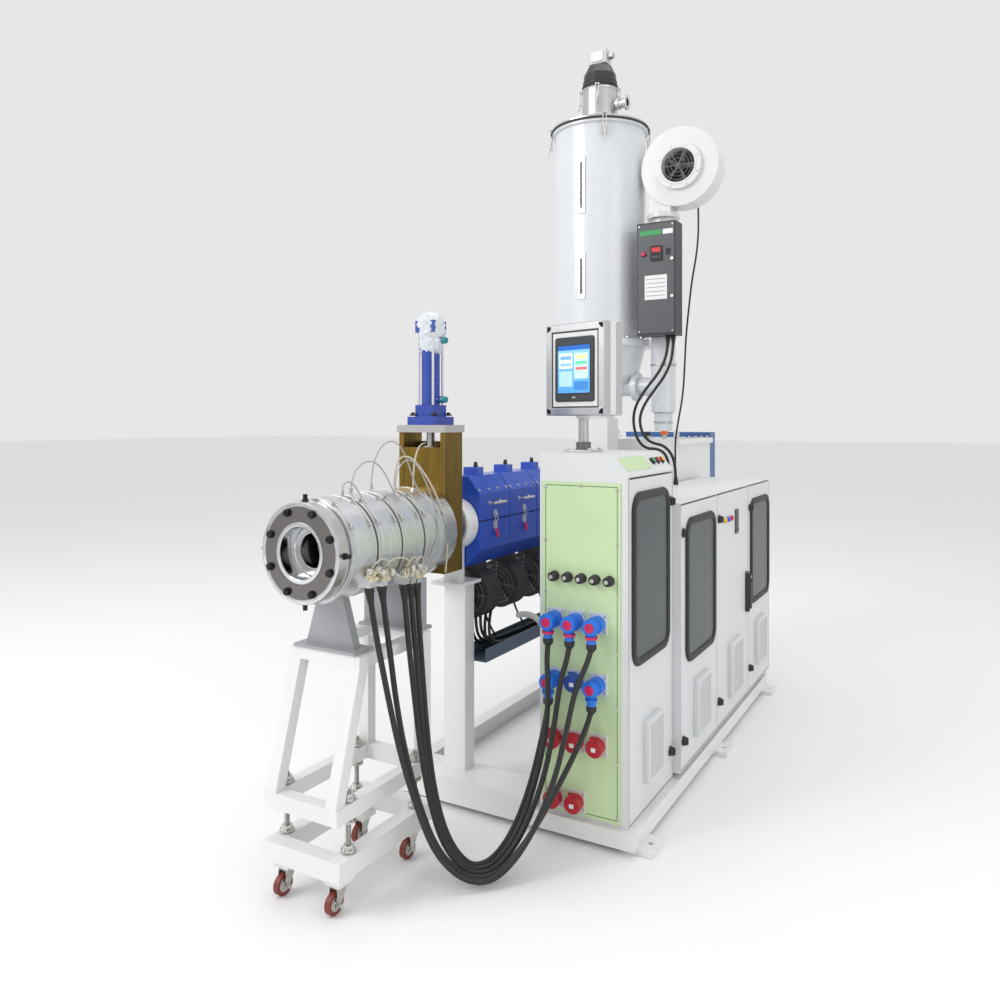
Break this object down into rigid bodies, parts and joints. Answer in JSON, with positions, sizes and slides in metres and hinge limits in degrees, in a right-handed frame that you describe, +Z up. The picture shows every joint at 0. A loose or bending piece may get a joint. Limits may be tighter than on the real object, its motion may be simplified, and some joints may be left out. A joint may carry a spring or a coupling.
{
  "type": "plastic extruder",
  "caption": "Single-screw plastic extruder on a welded base: pipe die on a wheeled stand, screen changer, covered barrel, hopper with loader, control console and windowed drive enclosure.",
  "frame": {"origin": "centre of the footprint at floor level", "axes": "+Z up, +Y upstream from the die to the gearbox, +X towards the operator's side with the windowed doors"},
  "size_m": [1.0598, 3.105, 3.362],
  "materials": {
    "white_paint": "semi-gloss powder coat",
    "grey_paint": "semi-gloss powder coat",
    "mint_panel": "smooth printed sheet",
    "blue_paint": "gloss paint",
    "gold_plate": "yellow zinc plating",
    "dark_steel": "ground and blackened",
    "bright_steel": "brushed",
    "band_metal": "satin sheet",
    "black_plastic": "matt",
    "black_rubber": "matt",
    "blue_plastic": "moulded",
    "wheel_red": "cast polyurethane",
    "smoky_glass": "tinted",
    "tray_slate": "semi-gloss",
    "cast_grey": "painted casting"
  },
  "bodies": {
    "machine": {"base_frame": "white_paint", "console_shell": "white_paint", "socket_panel": "mint_panel", "power_sockets": "blue_plastic", "power_plugs": "blue_plastic", "drive_enclosure": "white_paint", "terminal_post": "bright_steel", "barrel": "dark_steel", "barrel_post": "white_paint", "cable_tray": "tray_slate", "lower_covers": "blue_paint", "cooling_fans": "black_plastic", "gate_body": "gold_plate", "gate_ram": "blue_paint", "die_body": "bright_steel", "die_bands": "band_metal", "trolley_base": "white_paint", "trolley_frame": "white_paint", "jack_screws": "bright_steel", "feed_throat": "bright_steel", "hopper": "bright_steel", "hopper_lid": "bright_steel", "loader": "bright_steel", "air_heater": "bright_steel", "blower": "grey_paint", "control_box": "black_plastic", "gearbox": "white_paint", "belt_guard": "blue_paint", "drive_motor": "cast_grey", "belt_pulley": "cast_grey", "control_cable_1": "black_rubber", "control_cable_2": "black_rubber", "blower_cable": "black_rubber", "power_cable_1": "black_rubber", "power_cable_2": "black_rubber", "power_cable_3": "black_rubber", "power_cable_4": "black_rubber", "power_cable_5": "black_rubber"},
    "door_1": {"door_1": "white_paint", "window_1": "smoky_glass"},
    "door_2": {"door_2": "white_paint", "window_2": "smoky_glass"},
    "door_3": {"door_3": "white_paint"},
    "door_4": {"door_4": "white_paint", "window_4": "smoky_glass"},
    "terminal": {"terminal_box": "band_metal"},
    "gate": {"gate_slide": "bright_steel"},
    "cover_1": {"upper_cover_1": "blue_paint"},
    "cover_2": {"upper_cover_2": "blue_paint"},
    "cover_3": {"upper_cover_3": "blue_paint"},
    "cover_4": {"upper_cover_4": "blue_paint"},
    "cover_5": {"upper_cover_5": "blue_paint"},
    "fork_1": {"caster_fork_1": "bright_steel"},
    "wheel_1": {"caster_wheel_1": "wheel_red"},
    "fork_2": {"caster_fork_2": "bright_steel"},
    "wheel_2": {"caster_wheel_2": "wheel_red"},
    "fork_3": {"caster_fork_3": "bright_steel"},
    "wheel_3": {"caster_wheel_3": "wheel_red"},
    "fork_4": {"caster_fork_4": "bright_steel"},
    "wheel_4": {"caster_wheel_4": "wheel_red"}
  },
  "joints": [
    {"name": "door_1_hinge", "type": "hinge", "parent": "machine", "child": "door_1", "pos_m": [0.4445, -0.7715, 0.6], "axis": [0, 0, 1], "range_deg": [-100, 0]},
    {"name": "door_2_hinge", "type": "hinge", "parent": "machine", "child": "door_2", "pos_m": [0.4725, 0.181, 0.6], "axis": [0, 0, 1], "range_deg": [0, 100]},
    {"name": "door_3_hinge", "type": "hinge", "parent": "machine", "child": "door_3", "pos_m": [0.4725, 0.744, 0.6], "axis": [0, 0, 1], "range_deg": [0, 100]},
    {"name": "door_4_hinge", "type": "hinge", "parent": "machine", "child": "door_4", "pos_m": [0.4725, 1.2145, 0.6], "axis": [0, 0, 1], "range_deg": [0, 100]},
    {"name": "terminal_swivel", "type": "hinge", "parent": "machine", "child": "terminal", "pos_m": [0.1875, -0.5575, 1.44], "axis": [0, 0, 1], "range_deg": [-75, 75]},
    {"name": "cover_1_hinge", "type": "hinge", "parent": "machine", "child": "cover_1", "pos_m": [-0.3775, -0.5925, 1.0475], "axis": [0, -1, 0], "range_deg": [0, 110]},
    {"name": "cover_2_hinge", "type": "hinge", "parent": "machine", "child": "cover_2", "pos_m": [-0.3775, -0.3575, 1.0475], "axis": [0, -1, 0], "range_deg": [0, 110]},
    {"name": "cover_3_hinge", "type": "hinge", "parent": "machine", "child": "cover_3", "pos_m": [-0.3775, -0.1225, 1.0475], "axis": [0, -1, 0], "range_deg": [0, 110]},
    {"name": "cover_4_hinge", "type": "hinge", "parent": "machine", "child": "cover_4", "pos_m": [-0.3775, 0.1125, 1.0475], "axis": [0, -1, 0], "range_deg": [0, 110]},
    {"name": "cover_5_hinge", "type": "hinge", "parent": "machine", "child": "cover_5", "pos_m": [-0.3775, 0.3475, 1.0475], "axis": [0, -1, 0], "range_deg": [0, 110]},
    {"name": "gate_stroke", "type": "slide", "parent": "machine", "child": "gate", "axis": [0, 0, -1], "range_m": [0, 0.095]},
    {"name": "fork_1_swivel", "type": "hinge", "parent": "machine", "child": "fork_1", "pos_m": [-0.3675, -1.4975, 0.083], "axis": [0, 0, 1], "continuous": true},
    {"name": "wheel_1_spin", "type": "hinge", "parent": "fork_1", "child": "wheel_1", "pos_m": [-0.3675, -1.5175, 0.032], "axis": [1, 0, 0], "continuous": true},
    {"name": "fork_2_swivel", "type": "hinge", "parent": "machine", "child": "fork_2", "pos_m": [-0.3675, -1.1425, 0.083], "axis": [0, 0, 1], "continuous": true},
    {"name": "wheel_2_spin", "type": "hinge", "parent": "fork_2", "child": "wheel_2", "pos_m": [-0.3675, -1.1625, 0.032], "axis": [1, 0, 0], "continuous": true},
    {"name": "fork_3_swivel", "type": "hinge", "parent": "machine", "child": "fork_3", "pos_m": [-0.1675, -1.4975, 0.083], "axis": [0, 0, 1], "continuous": true},
    {"name": "wheel_3_spin", "type": "hinge", "parent": "fork_3", "child": "wheel_3", "pos_m": [-0.1675, -1.5175, 0.032], "axis": [1, 0, 0], "continuous": true},
    {"name": "fork_4_swivel", "type": "hinge", "parent": "machine", "child": "fork_4", "pos_m": [-0.1675, -1.1425, 0.083], "axis": [0, 0, 1], "continuous": true},
    {"name": "wheel_4_spin", "type": "hinge", "parent": "fork_4", "child": "wheel_4", "pos_m": [-0.1675, -1.1625, 0.032], "axis": [1, 0, 0], "continuous": true}
  ]
}
